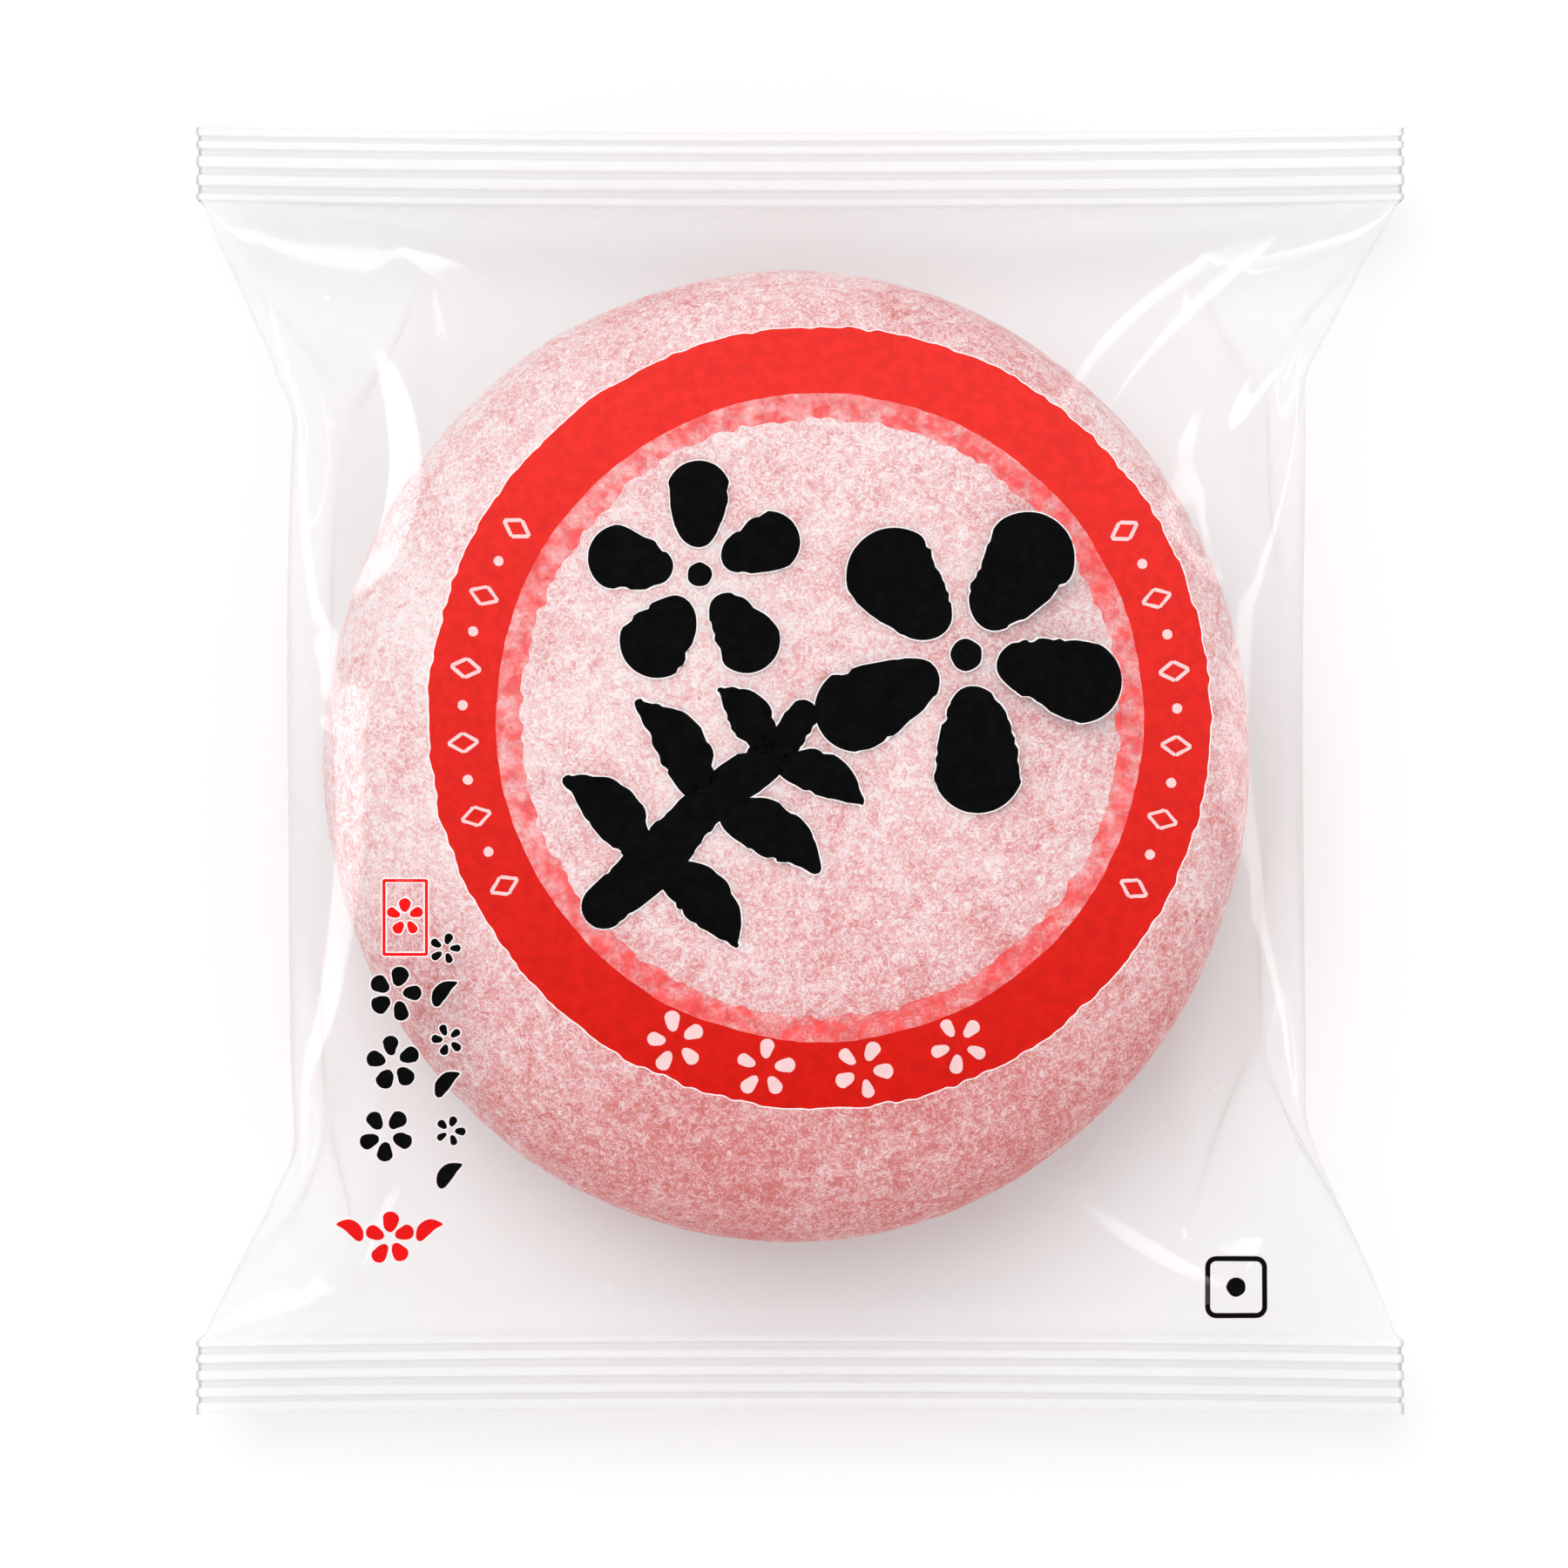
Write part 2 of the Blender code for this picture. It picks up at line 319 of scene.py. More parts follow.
def sweet_material():
    """Pink rice dough under uneven white starch, thickest over the middle; painted shade makes it darker and
    pinker towards the near side (-y) and the right, and a painted sheen whitens it where it is seen at a
    slant.
    """
    material, nodes, links = new_material("starched_dough")
    output = nodes.new("ShaderNodeOutputMaterial")
    shader = nodes.new("ShaderNodeBsdfPrincipled")
    shader.inputs["Roughness"].default_value = 0.85
    shader.inputs["Specular IOR Level"].default_value = 0.15
    place = nodes.new("ShaderNodeTexCoord")
    split = nodes.new("ShaderNodeSeparateXYZ")
    links.new(place.outputs["Object"], split.inputs[0])

    def noise(scale, detail, rough, distortion=0.0):
        node = nodes.new("ShaderNodeTexNoise")
        node.inputs["Scale"].default_value = scale
        node.inputs["Detail"].default_value = detail
        node.inputs["Roughness"].default_value = rough
        node.inputs["Distortion"].default_value = distortion
        links.new(place.outputs["Object"], node.inputs["Vector"])
        return node.outputs["Fac"]

    def add_share(total, value, share):
        added = math_node(nodes, links, "MULTIPLY_ADD", value, share)
        if isinstance(total, float):
            added.node.inputs[2].default_value = total
        else:
            links.new(total, added.node.inputs[2])
        return added

    curls = math_node(nodes, links, "SUBTRACT", noise(1500.0, 1.0, 0.5, 1.5), 0.5)
    curls = math_node(nodes, links, "ABSOLUTE", curls, 0.0)
    curls = math_node(nodes, links, "MULTIPLY", curls, 12.0)
    curls = math_node(nodes, links, "MINIMUM", curls, 1.0)
    # Painted sheen: the starch value rises where the surface is seen at a slant, whitening the sweet towards
    # its outline.
    slant = nodes.new("ShaderNodeLayerWeight")
    slant.inputs["Blend"].default_value = 0.5
    edge = math_node(nodes, links, "POWER", slant.outputs["Facing"], 5.0)
    # Partly painted shade: the starch value along y is lowest towards the near side (-y), darkening and
    # pinking it there.
    along = math_node(nodes, links, "MULTIPLY_ADD", split.outputs["Y"], 10.0)
    along.node.inputs[2].default_value = 0.5
    spread = colour_ramp(nodes, [((y + 50.0) / 100.0, (share, share, share, 1)) for y, share in STARCH_AND_SHADE_ALONG])
    links.new(along, spread.inputs["Fac"])
    starch_and_painted_light = add_share(STARCH_LEVEL, noise(75.0, 3.0, 0.6), 0.42)
    starch_and_painted_light = add_share(starch_and_painted_light, spread.outputs["Color"], 1.0)
    starch_and_painted_light = add_share(starch_and_painted_light, noise(480.0, 3.0, 0.8, 1.2), 0.60)
    grain = noise(2000.0, 3.0, 0.85, 1.2)
    starch_and_painted_light = add_share(starch_and_painted_light, grain, 0.66)
    starch_and_painted_light = add_share(starch_and_painted_light, curls, -0.24)
    # Painted shade: less starch towards the right, so the right side is darker and pinker.
    starch_and_painted_light = add_share(starch_and_painted_light, split.outputs["X"], -1.2)
    starch_and_painted_light = add_share(starch_and_painted_light, edge, 0.08)
    ramp = colour_ramp(nodes, DOUGH_TO_STARCH)
    links.new(starch_and_painted_light, ramp.inputs["Fac"])
    links.new(ramp.outputs["Color"], shader.inputs["Base Color"])
    bump = nodes.new("ShaderNodeBump")
    bump.inputs["Strength"].default_value = 0.5
    bump.inputs["Distance"].default_value = 0.00014
    links.new(grain, bump.inputs["Height"])
    links.new(bump.outputs["Normal"], shader.inputs["Normal"])
    links.new(shader.outputs[0], output.inputs["Surface"])
    return material


def ink_material(name, colour, mottle, thin=None, shaded_near_colour=None):
    """Slightly uneven ink; thin gives its least and greatest opacity, shaded_near_colour a darker copy of its
    colour towards the near side (-y), which is painted shade.
    """
    material, nodes, links = new_material(name)
    output = nodes.new("ShaderNodeOutputMaterial")
    shader = nodes.new("ShaderNodeBsdfPrincipled")
    shader.inputs["Roughness"].default_value = 0.5
    shader.inputs["Specular IOR Level"].default_value = 0.02
    place = nodes.new("ShaderNodeTexCoord")

    def uneven(scale, low, high):
        noise = nodes.new("ShaderNodeTexNoise")
        noise.inputs["Scale"].default_value = scale
        noise.inputs["Detail"].default_value = 2.0
        noise.inputs["Roughness"].default_value = 0.65
        links.new(place.outputs["Object"], noise.inputs["Vector"])
        ramp = colour_ramp(nodes, ((0.36, low + (1,)), (0.64, high + (1,))))
        links.new(noise.outputs["Fac"], ramp.inputs["Fac"])
        return ramp.outputs["Color"]

    def field(base):
        low, high = (tuple(min(c * (1 + change), 1.0) for c in base) for change in (-mottle, mottle))
        return uneven(900.0, low, high)

    shade = field(colour)
    # Painted shade: towards the near side (-y) the ink blends to a darker copy of its colour.
    if shaded_near_colour:
        split = nodes.new("ShaderNodeSeparateXYZ")
        links.new(place.outputs["Object"], split.inputs[0])
        painted_shade_blend = math_node(nodes, links, "MULTIPLY_ADD", split.outputs["Y"], -17.0)
        painted_shade_blend.node.inputs[2].default_value = 0.5
        blend = nodes.new("ShaderNodeMix")
        blend.data_type = "RGBA"
        links.new(painted_shade_blend, blend.inputs[0])
        links.new(shade, blend.inputs[6])
        links.new(field(shaded_near_colour), blend.inputs[7])
        shade = blend.outputs[2]
    links.new(shade, shader.inputs["Base Color"])
    if thin:
        links.new(uneven(560.0, (thin[0],) * 3, (thin[1],) * 3), shader.inputs["Alpha"])
    links.new(shader.outputs[0], output.inputs["Surface"])
    return material


# Film

def outline_half(y, side):
    """Half the width of the pack's outline on one side, at y along it."""
    pinch = np.where(y >= 0, PINCH[(side, 1)], PINCH[(side, -1)])
    reach = np.abs(y)
    inner = MID_HALF[side] + (PINCH_HALF[side] - MID_HALF[side]) * (reach / pinch) ** 2
    beyond = np.clip((reach - pinch) / (SEAL_INNER - pinch), 0, 1)
    outer = PINCH_HALF[side] + (FLAT / 2 - PINCH_HALF[side]) * beyond ** 1.05
    return np.where(reach <= pinch, inner, outer)


def across_film(half_count):
    """Where each line of film lies across the flat tube: over the top to the right, and back below."""
    k = np.arange(2 * half_count)
    top = -FLAT / 2 + FLAT * k / half_count
    return np.where(k <= half_count, top, FLAT - top)


def seal_line(half_count, end):
    s = across_film(half_count) / (FLAT / 2)
    y = end * (SEAL_INNER - SEAL_BOW * (1 - s ** 2))
    return np.stack([s * FLAT / 2, y, SEAL_HEIGHT - SEAL_DROOP * s ** 2], axis=-1)


def blown_tube(half_count, rows):
    """The tube's start: a smooth pillow inside the outline."""
    s = across_film(half_count) / (FLAT / 2)
    k = np.arange(2 * half_count)
    along = np.linspace(-1, 1, rows + 1)
    y = SEAL_INNER * along
    bulge = (1 - np.abs(along) ** 2.6) ** 0.7
    fullness = (1 - np.abs(s) ** 3) ** 0.5
    x = np.where(s[:, None] < 0, s[:, None] * outline_half(y, -1), s[:, None] * outline_half(y, 1))
    top = SEAL_HEIGHT + 20.0 * bulge * fullness[:, None]
    back = SEAL_HEIGHT - 10.7 * bulge * fullness[:, None]
    side = np.broadcast_to(SEAL_HEIGHT - bulge, x.shape)
    is_side = ((k == 0) | (k == half_count))[:, None]
    is_top = ((k > 0) & (k < half_count))[:, None]
    z = np.where(is_side, side, np.where(is_top, top, back))
    return np.stack([x, np.broadcast_to(y, x.shape), z], axis=-1)


def keep_outside_sweet(points, gap=0.15):
    """Moves film points that are inside the sweet out to its surface."""
    dx = points[..., 0] - SWEET_CENTRE[0]
    dy = points[..., 1] - SWEET_CENTRE[1]
    dz = points[..., 2] - SWEET_WAIST
    a, b = SWEET_HALF[0] + gap, SWEET_HALF[1] + gap
    tall = np.where(dz > 0, SWEET_TOP + gap - SWEET_WAIST, SWEET_WAIST - SWEET_BOTTOM + gap)
    r = np.sqrt((dx / a) ** 2 + (dy / b) ** 2) + 1e-9
    h = np.abs(dz) / tall
    form = r ** SWEET_FULLNESS + h ** SWEET_FULLNESS
    slope_r = SWEET_FULLNESS * r ** (SWEET_FULLNESS - 1)
    slope = np.stack([slope_r * dx / (a * a * r), slope_r * dy / (b * b * r),
                      SWEET_FULLNESS * h ** (SWEET_FULLNESS - 1) * np.sign(dz) / tall], axis=-1)
    steepness = np.sqrt((slope ** 2).sum(-1)) + 1e-9
    step = np.where(form < 1, np.minimum((1 - form) / steepness, 1.5), 0.0)
    points += (step / steepness)[..., None] * slope


def beside_line(x, y, line):
    """For each place, each stretch of a line in plan: share passed, distance, and which side (1 left)."""
    for start, stop in zip(line, line[1:]):
        rx, ry = stop[0] - start[0], stop[1] - start[1]
        passed = np.clip(((x - start[0]) * rx + (y - start[1]) * ry) / (rx * rx + ry * ry), 0, 1)
        away_x, away_y = x - start[0] - passed * rx, y - start[1] - passed * ry
        yield start, stop, passed, np.hypot(away_x, away_y), np.sign(rx * away_y - ry * away_x)


def ridge_height(x, y, lift):
    """The least height of the film near the ridges, which are lifted by some amount."""
    height = np.full(x.shape, -100.0)
    for ridge in RIDGES:
        for start, stop, passed, distance, side in beside_line(x, y, ridge):
            z, flat, tilt = (start[i] + (stop[i] - start[i]) * passed for i in (2, 3, 4))
            on_top = tilt * side * np.minimum(distance, flat)
            height = np.maximum(height, z + lift + on_top - RIDGE_SLOPE * np.maximum(distance - flat, 0.0))
    return height


def fold_height(x, y):
    """Height that the crisp folds add: none at either end of a fold, all of it half way."""
    total = np.zeros(x.shape)
    for line, height, left, right in FOLDS:
        lengths = [math.dist(start, stop) for start, stop in zip(line, line[1:])]
        added = np.zeros(x.shape)
        before = 0.0
        for length, (_, _, passed, distance, side) in zip(lengths, beside_line(x, y, line)):
            share = (before + passed * length) / sum(lengths)
            strength = np.sin(math.pi * share) ** 0.6
            reach = np.where(side > 0, left, right)
            added = np.maximum(added, height * strength * np.maximum(1 - distance / reach, 0))
            before += length
        total += added
    return total


def half_correction(start, end, rest, stiffness):
    """What start moves by, and end moves back by, to bring their distance towards rest."""
    apart = end - start
    distance = np.sqrt((apart ** 2).sum(-1)) + 1e-12
    return (0.5 * stiffness * (distance - rest) / distance)[..., None] * apart


def relax_film(points, steps, pressure, rising, bending=0.5, shear=0.6, damping=0.92, weight=0.0005):
    """Settles the film under a slight pressure: it keeps its lengths and stays outside the sweet.

    Where rising is true, the ridges come up from below during the first steps.
    """
    lines, rows, _ = points.shape
    half = lines // 2
    du = FLAT / half
    to_side = np.clip((np.abs(across_film(half)) - DRAWN_FROM) / (FLAT / 2 - DRAWN_FROM), 0, 1)
    to_side = to_side * to_side * (3 - 2 * to_side)
    dv = ((TUBE_LENGTH + (SIDE_LENGTH - TUBE_LENGTH) * to_side) / (rows - 1))[:, None]
    area = du * TUBE_LENGTH / (rows - 1)
    seals = seal_line(half, -1), seal_line(half, 1)
    index = np.arange(lines)
    top = (index > 0) & (index < half)
    neighbours = index[::2], index[1::2]
    skips = index[index % 4 < 2], index[index % 4 >= 2]
    points[:, 0], points[:, -1] = seals
    speed = np.zeros_like(points)
    for step in range(steps):
        round_it = np.roll(points, -1, 0) - np.roll(points, 1, 0)
        along_it = np.zeros_like(points)
        along_it[:, 1:-1] = points[:, 2:] - points[:, :-2]
        speed = speed * damping + pressure * np.cross(round_it, along_it) / (4 * area)
        speed[..., 2] -= weight
        p = points + speed
        for a in neighbours:
            b = (a + 1) % lines
            move = half_correction(p[a], p[b], du, 1.0)
            p[a] += move
            p[b] -= move
        for a in neighbours:
            b = (a + 1) % lines
            diagonal = np.hypot(du, (dv[a] + dv[b]) / 2)
            move = half_correction(p[a][:, :-1], p[b][:, 1:], diagonal, shear)
            p[a, :-1] += move
            p[b, 1:] -= move
            move = half_correction(p[a][:, 1:], p[b][:, :-1], diagonal, shear)
            p[a, 1:] += move
            p[b, :-1] -= move
        for a in skips:
            b = (a + 2) % lines
            move = half_correction(p[a], p[b], 2 * du, bending)
            p[a] += move
            p[b] -= move
        for first in (0, 1):
            pairs = (rows - first) // 2
            near = slice(first, first + 2 * pairs, 2)
            far = slice(first + 1, first + 1 + 2 * pairs, 2)
            move = half_correction(p[:, near], p[:, far], dv, 1.0)
            p[:, near] += move
            p[:, far] -= move
        for first in range(4):
            near = np.arange(first, rows - 2, 4)
            move = half_correction(p[:, near], p[:, near + 2], 2 * dv, bending)
            p[:, near] += move
            p[:, near + 2] -= move
        keep_outside_sweet(p)
        lift = RIDGE_START * (1 - min(1.0, step / RIDGE_STEPS)) if rising else 0.0
        p[top, :, 2] = np.maximum(p[top, :, 2], ridge_height(p[top, :, 0], p[top, :, 1], lift))
        p[..., 2] = np.maximum(p[..., 2], 0.0)
        y = p[..., 1]
        p[..., 0] = np.clip(p[..., 0], -outline_half(y, -1), outline_half(y, 1))
        p[:, 0], p[:, -1] = seals
        speed = p - points
        points = p
    return points


def finer(points):
    """The same film with twice as many points each way."""
    lines, rows, _ = points.shape
    fine = np.empty((2 * lines, 2 * rows - 1, 3))
    fine[::2, ::2] = points
    fine[1::2, ::2] = (points + np.roll(points, -1, 0)) / 2
    fine[:, 1::2] = (fine[:, :-1:2] + fine[:, 2::2]) / 2
    return fine


def smoothed(points, times):
    """The same film without ripples that are only a few points wide; the seals stay."""
    half = len(points) // 2
    for _ in range(times):
        points = (2 * points + np.roll(points, 1, 0) + np.roll(points, -1, 0)) / 4
        points[:, 1:-1] = (2 * points[:, 1:-1] + points[:, :-2] + points[:, 2:]) / 4
        points[:, 0], points[:, -1] = seal_line(half, -1), seal_line(half, 1)
    keep_outside_sweet(points)
    return points


def film_tube():
    rng = np.random.default_rng(4)
    points = blown_tube(40, 42)
    points[:, 1:-1] += rng.normal(0, 0.03, points[:, 1:-1].shape)
    stages = ((1500, 0.0010), (700, 0.0005), (60, 0.00025))
    for stage, (steps, pressure) in enumerate(stages):
        if stage:
            points = finer(points)
        points = relax_film(points, steps, pressure, rising=stage == 0)
    points = smoothed(points, 4)
    half = len(points) // 2
    top = points[1:half, 1:-1]
    top[..., 2] = np.maximum(top[..., 2], ridge_height(top[..., 0], top[..., 1], 0.0))
    top[..., 2] += fold_height(top[..., 0], top[..., 1])
    return points


def groove_share(depth, end):
    """1 on the floor of a groove, 0 on the flat bands between them."""
    share = 0.0
    for middle, width in GROOVES[end]:
        beyond = abs(depth - middle) - (width - GROOVE_EDGE) / 2
        share = max(share, min(max(1 - beyond / GROOVE_EDGE, 0.0), 1.0))
    return share


def groove_steps(end):
    """Depths of the rows of a seal, with rows on both edges of each groove's sides."""
    depths = {0.0, SEAL_DEPTH}
    for middle, width in GROOVES[end]:
        for out in (-1, 1):
            for edge in ((width - GROOVE_EDGE) / 2, (width + GROOVE_EDGE) / 2, (width + 3 * GROOVE_EDGE) / 2):
                depths.add(round(middle + out * edge, 3))
        depths.add(middle)
    return sorted(depth for depth in depths if 0.0 <= depth <= SEAL_DEPTH)


def seal_rows(half_count, end):
    """Rows of a crimped seal outwards from the tube: two sheets a hair apart, grooved together."""
    s = across_film(half_count) / (FLAT / 2)
    k = np.arange(2 * half_count)
    sheet = np.where((k == 0) | (k == half_count), 0.0, np.where(k < half_count, 0.5, -0.5))
    rows = []
    for depth in groove_steps(end):
        share = groove_share(depth, end)
        x = s * (FLAT / 2 - JAG * share)
        y = end * (SEAL_INNER + depth - SEAL_BOW * (1 - s ** 2))
        sway = 0.12 * np.sin(5.0 * s + 0.9 * depth + end) * min(depth, 1.0)
        z = SEAL_HEIGHT - SEAL_DROOP * s ** 2 - GROOVE_DEPTH * share * min(depth / 0.3, 1.0) + sway
        rows.append(np.stack([x, y, z + sheet * SEAL_GAP], axis=-1))
    return rows


def build_film(tube, material):
    lines = tube.shape[0]
    half = lines // 2
    near, far = seal_rows(half, -1), seal_rows(half, 1)
    middle = [tube[:, j] for j in range(1, tube.shape[1] - 1)]
    rows = near[::-1] + middle + far
    points = np.stack(rows, axis=1)
    count = points.shape[1]
    faces = [tuple(reversed(face)) for face in grid_faces(lines, count, closed_rows=True)]
    for row in (0, count - 1):
        for k in range(half):
            corners = [k, k + 1, (lines - k - 1) % lines, (lines - k) % lines]
            corners = [c * count + row for c in dict.fromkeys(corners)]
            faces.append(tuple(corners if row else reversed(corners)))
    return make_piece("film", points.reshape(-1, 3), faces, material)


# Sweet

def superellipse(turn, fullness):
    """A unit superellipse's points: out and up."""
    out = np.sign(np.cos(turn)) * np.abs(np.cos(turn)) ** (2 / fullness)
    up = np.sign(np.sin(turn)) * np.abs(np.sin(turn)) ** (2 / fullness)
    return out, up


def build_sweet(material):
    around, high = 420, 170
    rise = np.linspace(-math.pi / 2, math.pi / 2, high)
    turn = np.arange(around) * 2 * math.pi / around
    out, up = superellipse(rise, SWEET_FULLNESS)
    out[0] = out[-1] = 0.0
    tall = np.where(rise >= 0, SWEET_TOP - SWEET_WAIST, SWEET_WAIST - SWEET_BOTTOM)
    x = SWEET_CENTRE[0] + SWEET_HALF[0] * out[None, :] * np.cos(turn)[:, None]
    y = SWEET_CENTRE[1] + SWEET_HALF[1] * out[None, :] * np.sin(turn)[:, None]
    z = np.broadcast_to(SWEET_WAIST + tall * up, x.shape)
    points = np.stack([x, y, z], axis=-1).reshape(-1, 3)
    inward = np.array([SWEET_CENTRE[0], SWEET_CENTRE[1], SWEET_WAIST]) - points
    inward /= np.linalg.norm(inward, axis=1)[:, None]
    soft = 0.14 * (fractal_noise(points, 14.0, 2, 11) + 1.2)
    crumbs = 0.05 * (fractal_noise(points, 1.4, 2, 23) + 1.5)
    points += inward * (soft + crumbs)[:, None]
    faces = grid_faces(around, high, closed_rows=True)
    return make_piece("sweet", points, faces, material)


def build_crumbs(film_tree, material):
    """Loose starch on the back of the pack beside the sweet, as one mesh of small flat crumbs."""
    rng = np.random.default_rng(12)
    heaps = ((-15.7, -39.6, 3.0, 40), (12.3, -39.4, 3.5, 50), (23.8, -33.6, 4.0, 60), (33.2, -27.6, 3.0, 40),
             (0.0, -40.6, 8.0, 60), (36.0, -12.0, 3.0, 25))
    points, faces = [], []
    for x, y, spread, count in heaps:
        for _ in range(count):
            px, py = rng.normal((x, y), spread)
            size = 0.07 + 0.2 * rng.random() ** 2
            turn = rng.random() * math.pi
            spot, _, _, _ = film_tree.ray_cast(Vector((px, py, 9.0)) * MM, Vector((0, 0, -1)))
            across, along = ((p - c) / half for p, c, half in zip((px, py), SWEET_CENTRE, SWEET_HALF))
            if spot is None or math.hypot(across, along) < 0.97 or abs(px) > 39.0 or abs(py) > 44.0:
                continue
            start = len(points)
            z = spot.z / MM + 0.05
            for corner in range(4):
                angle = turn + corner * math.pi / 2
                reach = size * (0.6 + 0.5 * rng.random())
                points.append((px + reach * math.cos(angle), py + reach * math.sin(angle), z + 0.04 * size))
            points.append((px, py, z + 0.12 * size))
            points.append((px, py, z))
            for corner in range(4):
                after = start + (corner + 1) % 4
                faces.append((start + corner, after, start + 4))
                faces.append((after, start + corner, start + 5))
    crumbs = make_piece("loose_starch", points, faces, material)
    crumbs.data.shade_flat()
    return crumbs


# Print

class Printer:
    """Lays flat patches, given as seen in the picture, on the film below the camera's rays."""

    def __init__(self, film):
        mesh = film.data
        corners = [v.co.copy() for v in mesh.vertices]
        self.tree = BVHTree.FromPolygons(corners, [tuple(p.vertices) for p in mesh.polygons])
        self.eye = Vector((VIEW_CENTRE[0], VIEW_CENTRE[1], CAMERA_HEIGHT)) * MM

    def on_film(self, x, y, lift):
        aim = Vector((x, y, SEAL_HEIGHT)) * MM
        direction = (aim - self.eye).normalized()
        spot, normal, _, _ = self.tree.ray_cast(self.eye, direction)
        if normal.z < 0:
            normal = -normal
        return tuple((spot + normal * lift * MM) / MM)

    def lay(self, patches, lift):
        """Points and faces of several grids of picture points."""
        points, faces = [], []
        for patch in patches:
            rows, columns = patch.shape[:2]
            start = len(points)
            points.extend(self.on_film(x, y, lift) for x, y in patch.reshape(-1, 2))
            faces.extend(tuple(start + c for c in face) for face in grid_faces(rows, columns))
        return points, faces


def ragged(count, radius, amount, seed, fine=0.5):
    """A closed run of small offsets round a circle, like a torn edge."""
    turn = np.arange(count) * 2 * math.pi / count
    circle = np.stack([np.cos(turn), np.sin(turn), np.zeros(count)], axis=-1) * radius
    return amount * (lattice_noise(circle, 2.6, seed) + fine * lattice_noise(circle, 0.8, seed + 7))


def ring_patch(inner, outer, steps):
    """A closed ring between two radii given for each angle."""
    turn = np.arange(len(inner) + 1) * 2 * math.pi / len(inner)
    inner, outer = np.append(inner, inner[0]), np.append(outer, outer[0])
    radius = outer + (inner - outer) * np.linspace(0, 1, steps)[:, None]
    x = RING_CENTRE[0] + radius * np.cos(turn)
    y = RING_CENTRE[1] + radius * np.sin(turn)
    return np.stack([x, y], axis=-1)


def smooth_path(path, t):
    """A smooth curve through the given points, at shares t of the way."""
    path = np.asarray(path, dtype=float)
    ends = np.concatenate([[2 * path[0] - path[1]], path, [2 * path[-1] - path[-2]]])
    place = t * (len(path) - 1)
    i = np.clip(place.astype(int), 0, len(path) - 2)
    f = (place - i)[:, None]
    p0, p1, p2, p3 = ends[i], ends[i + 1], ends[i + 2], ends[i + 3]
    return 0.5 * (2 * p1 + (p2 - p0) * f + (2 * p0 - 5 * p1 + 4 * p2 - p3) * f ** 2
                  + (3 * p1 - p0 - 3 * p2 + p3) * f ** 3)


def brush(path, widths, seed, grow=0.0, rough=0.13, across=6):
    """A brush stroke with round ends and ragged sides along a smooth path; grow widens it all round."""
    path = [np.array(point, dtype=float) for point in path]
    for end, inner in ((0, 1), (-1, -2)):
        outward = path[end] - path[inner]
        path[end] = path[end] + outward / np.linalg.norm(outward) * grow
    span = sum(np.linalg.norm(b - a) for a, b in zip(path, path[1:]))
    count = max(int(span / 0.22), 14)
    t = (1 - np.cos(math.pi * np.linspace(0, 1, count))) / 2
    line = smooth_path(path, t)
    run = np.concatenate([[0.0], np.cumsum(np.linalg.norm(np.diff(line, axis=0), axis=1))])
    half = np.interp(run / run[-1], np.linspace(0, 1, len(widths)), widths) / 2 + grow
    direction = np.gradient(line, axis=0)
    direction /= np.linalg.norm(direction, axis=1)[:, None]
    normal = np.stack([-direction[:, 1], direction[:, 0]], axis=-1)
    from_end = np.minimum(run, run[-1] - run)
    sides = []
    for side in (-1, 1):
        place = np.stack([run, np.full(count, side * 5.0), np.zeros(count)], axis=-1)
        reach = half + rough * (lattice_noise(place, 1.2, seed) + 0.7 * lattice_noise(place, 0.5, seed + 3))
        depth = np.minimum(from_end, half)
        cap = np.sqrt(np.maximum(2 * half * depth - depth ** 2, 0.0))
        reach = np.minimum(reach, cap + 0.25 * rough * (from_end > 0.1))
        sides.append(line + normal * (side * np.maximum(reach, 0.01))[:, None])
    return sides[0][None] + (sides[1] - sides[0])[None] * np.linspace(0, 1, across)[:, None, None]


def disc(centre, radius, seed, grow=0.0, around=28):
    turn = np.linspace(0, 2 * math.pi, around + 1)
    place = np.stack([np.cos(turn) * 2, np.sin(turn) * 2, np.zeros(around + 1)], axis=-1)
    place[-1] = place[0]
    edge = radius * (1 + 0.06 * lattice_noise(place, 1.0, seed)) + grow
    share = np.linspace(1.0, 0.02, 5)[:, None]
    x = centre[0] + edge * share * np.cos(turn)
    y = centre[1] + edge * share * np.sin(turn)
    return np.stack([x, y], axis=-1)


def frame_line(centre, half_x, half_y, rounding, width, grow=0.0):
    """The outline of a rectangle with round corners, as a closed band."""
    points, outwards = [], []
    for corner in range(4):
        sx, sy = ((1, 1), (-1, 1), (-1, -1), (1, -1))[corner]
        for step in range(7):
            angle = math.pi / 2 * (corner + step / 6)
            outward = np.array([math.cos(angle), math.sin(angle)])
            middle = np.array([centre[0] + sx * (half_x - rounding), centre[1] + sy * (half_y - rounding)])
            points.append(middle + outward * rounding)
            outwards.append(outward)
    points, outwards = np.array(points + points[:1]), np.array(outwards + outwards[:1])
    reach = np.linspace(-width / 2 - grow, width / 2 + grow, 3)[:, None, None]
    return points[None] + reach * outwards[None]


def leaf(root, tip, width, seed, grow=0.0, bend=0.12, rough=0.10):
    """A leaf from root to tip, pointed at the tip."""
    root, tip = np.array(root, dtype=float), np.array(tip, dtype=float)
    aside = np.array([-(tip - root)[1], (tip - root)[0]]) * bend
    path = [root, root * 0.66 + tip * 0.34 + aside, root * 0.33 + tip * 0.67 + aside, tip]
    widths = [width * share for share in (0.45, 0.75, 0.98, 1.0, 0.85, 0.5, 0.12)]
    return brush(path, widths, seed, grow, rough)


